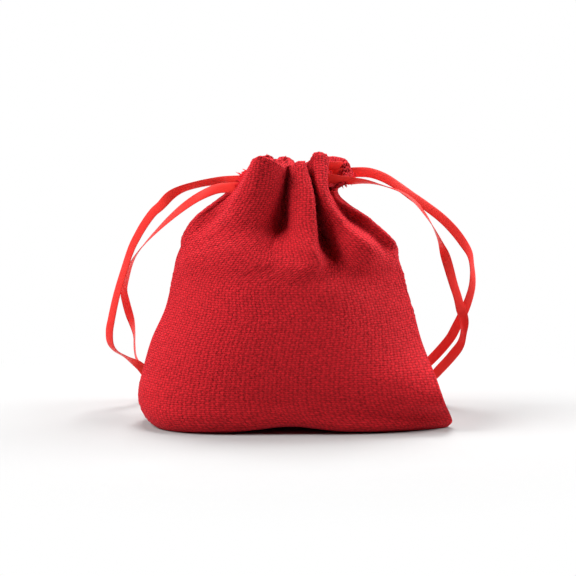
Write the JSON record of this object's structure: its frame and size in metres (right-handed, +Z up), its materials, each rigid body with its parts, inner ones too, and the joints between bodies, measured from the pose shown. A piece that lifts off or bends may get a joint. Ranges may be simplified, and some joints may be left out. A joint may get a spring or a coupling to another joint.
{
  "type": "drawstring pouch",
  "caption": "Small coarse-linen pouch, full and drawn nearly shut at its gathered casing, with satin ribbon drawstrings that leave at both sides; holds small gifts.",
  "frame": {"origin": "middle of the base, on the surface that the pouch stands on", "axes": "+Z up, the front of the pouch faces -Y, +X towards its right side as seen from the front"},
  "size_m": [0.1144, 0.0683, 0.0817],
  "materials": {
    "linen_cloth": "coarse plain-woven linen, matt crimson",
    "satin_ribbon": "woven satin ribbon, orange-red with a soft sheen"
  },
  "bodies": {
    "root": {"pouch_body": "linen_cloth", "left_drawstring": "satin_ribbon", "right_drawstring": "satin_ribbon"}
  },
  "joints": []
}
